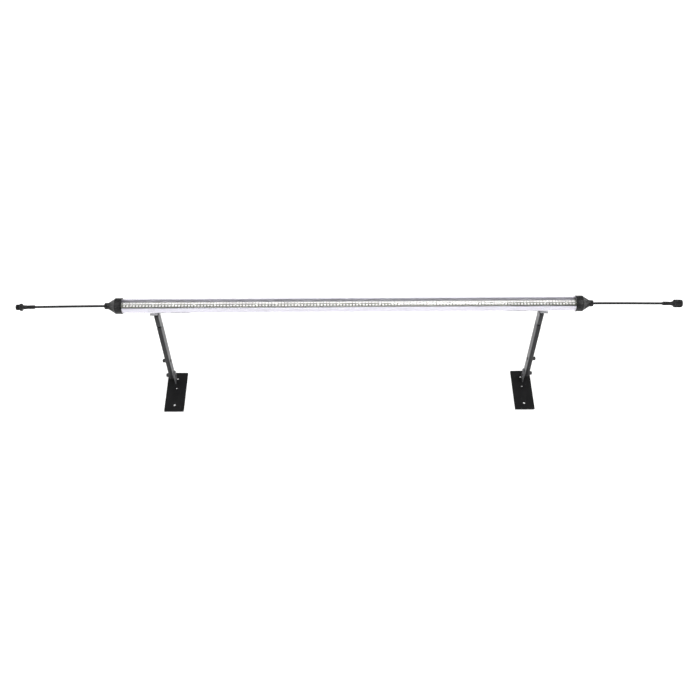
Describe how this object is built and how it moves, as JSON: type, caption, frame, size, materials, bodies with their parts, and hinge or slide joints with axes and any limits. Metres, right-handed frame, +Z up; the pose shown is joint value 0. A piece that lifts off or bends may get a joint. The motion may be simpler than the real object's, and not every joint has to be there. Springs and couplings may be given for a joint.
{
  "type": "led aquarium light",
  "caption": "Clear waterproof LED tube with cone end caps and cable connectors, carried by two folding, telescoping brackets on flat base plates.",
  "frame": {"origin": "on the surface under both base plates, midway between them", "axes": "+Z up, X along the tube with the female connector at +X, -Y towards the long end of the base plates"},
  "size_m": [1.6663, 0.128, 0.344],
  "materials": {
    "plate_black": "satin black powder coat, fine texture",
    "lug_grey": "dark grey powder coat",
    "arm_grey": "folded channel, its web grey and its flanges dark grey, satin",
    "knob_black": "dark moulded plastic, satin, fluted",
    "bolt_steel": "black-oxide steel",
    "clip_clear": "clear moulded polycarbonate, glossy",
    "tube_clear": "clear extruded polycarbonate, glossy",
    "tray_grey": "extruded aluminium, pale silver anodised",
    "board_pale": "circuit board with pale solder mask",
    "led_white": "warm white LED packages, lit",
    "driver_green": "green circuit board with potted components",
    "wire_red": "insulated hook-up wire",
    "cap_black": "black moulded nylon, semi-gloss",
    "rubber_black": "matt black rubber",
    "pin_brass": "nickel-flashed brass contact pins"
  },
  "bodies": {
    "base": {"base_plate_left": "plate_black", "pivot_lug_left": "lug_grey", "pivot_bolt_left": "bolt_steel", "base_plate_right": "plate_black", "pivot_lug_right": "lug_grey", "pivot_bolt_right": "bolt_steel"},
    "lower_arm_left": {"lower_arm_left": "arm_grey", "pivot_washer_left": "bolt_steel", "clamp_bolt_left": "bolt_steel", "clamp_washer_left": "bolt_steel"},
    "lower_arm_right": {"lower_arm_right": "arm_grey", "pivot_washer_right": "bolt_steel", "clamp_bolt_right": "bolt_steel", "clamp_washer_right": "bolt_steel"},
    "upper_arm_left": {"upper_arm_left": "arm_grey", "tube_clip_left": "clip_clear", "clip_screw_left": "bolt_steel", "clip_nut_left": "bolt_steel"},
    "upper_arm_right": {"upper_arm_right": "arm_grey", "tube_clip_right": "clip_clear", "clip_screw_right": "bolt_steel", "clip_nut_right": "bolt_steel"},
    "pivot_knob_left": {"pivot_knob_left": "knob_black"},
    "pivot_knob_right": {"pivot_knob_right": "knob_black"},
    "clamp_knob_left": {"clamp_knob_left": "knob_black"},
    "clamp_knob_right": {"clamp_knob_right": "knob_black"},
    "coupling_nut": {"coupling_nut": "cap_black"},
    "lamp": {"tray_holder_left": "cap_black", "cap_gasket_left": "rubber_black", "end_cap_left": "cap_black", "gland_nut_left": "cap_black", "cable_left": "rubber_black", "tray_holder_right": "cap_black", "cap_gasket_right": "rubber_black", "end_cap_right": "cap_black", "gland_nut_right": "cap_black", "cable_right": "rubber_black", "clear_tube": "tube_clear", "heat_sink_tray": "tray_grey", "led_board": "board_pale", "led_row_front": "led_white", "led_row_back": "led_white", "driver_module": "driver_green", "through_wire_front": "wire_red", "through_wire_back": "wire_red", "male_plug_shell": "cap_black", "male_pin_insert": "rubber_black", "male_pin_front": "pin_brass", "male_pin_back": "pin_brass", "female_socket_shell": "cap_black", "female_pin_insert": "rubber_black", "socket_seal": "rubber_black"}
  },
  "joints": [
    {"name": "arm_swing_left", "type": "hinge", "parent": "base", "child": "lower_arm_left", "pos_m": [-0.48, 0.0375, 0.029], "axis": [1, 0, 0], "range_deg": [-90, 90]},
    {"name": "arm_height_left", "type": "slide", "parent": "lower_arm_left", "child": "upper_arm_left", "axis": [0, 0, 1], "range_m": [0, 0.044]},
    {"name": "pivot_knob_turn_left", "type": "hinge", "parent": "base", "child": "pivot_knob_left", "pos_m": [-0.49, 0.0375, 0.029], "axis": [-1, 0, 0], "range_deg": [0, 360]},
    {"name": "clamp_knob_turn_left", "type": "hinge", "parent": "lower_arm_left", "child": "clamp_knob_left", "pos_m": [-0.49, 0.0375, 0.095], "axis": [-1, 0, 0], "range_deg": [0, 360]},
    {"name": "arm_swing_right", "type": "hinge", "parent": "base", "child": "lower_arm_right", "pos_m": [0.48, 0.0375, 0.029], "axis": [1, 0, 0], "range_deg": [-90, 90]},
    {"name": "arm_height_right", "type": "slide", "parent": "lower_arm_right", "child": "upper_arm_right", "axis": [0, 0, 1], "range_m": [0, 0.044]},
    {"name": "pivot_knob_turn_right", "type": "hinge", "parent": "base", "child": "pivot_knob_right", "pos_m": [0.49, 0.0375, 0.029], "axis": [1, 0, 0], "range_deg": [0, 360]},
    {"name": "clamp_knob_turn_right", "type": "hinge", "parent": "lower_arm_right", "child": "clamp_knob_right", "pos_m": [0.49, 0.0375, 0.095], "axis": [1, 0, 0], "range_deg": [0, 360]},
    {"name": "lamp_roll", "type": "hinge", "parent": "upper_arm_left", "child": "lamp", "pos_m": [0, 0.0375, 0.3235], "axis": [1, 0, 0], "range_deg": [-90, 90]},
    {"name": "coupling_nut_turn", "type": "hinge", "parent": "lamp", "child": "coupling_nut", "pos_m": [0.785, 0.0375, 0.3215], "axis": [0.9999, 0, -0.0172], "continuous": true}
  ],
  "couplings": [
    {"joint": "arm_swing_right", "follows": "arm_swing_left", "ratio": 1},
    {"joint": "arm_height_right", "follows": "arm_height_left", "ratio": 1}
  ]
}
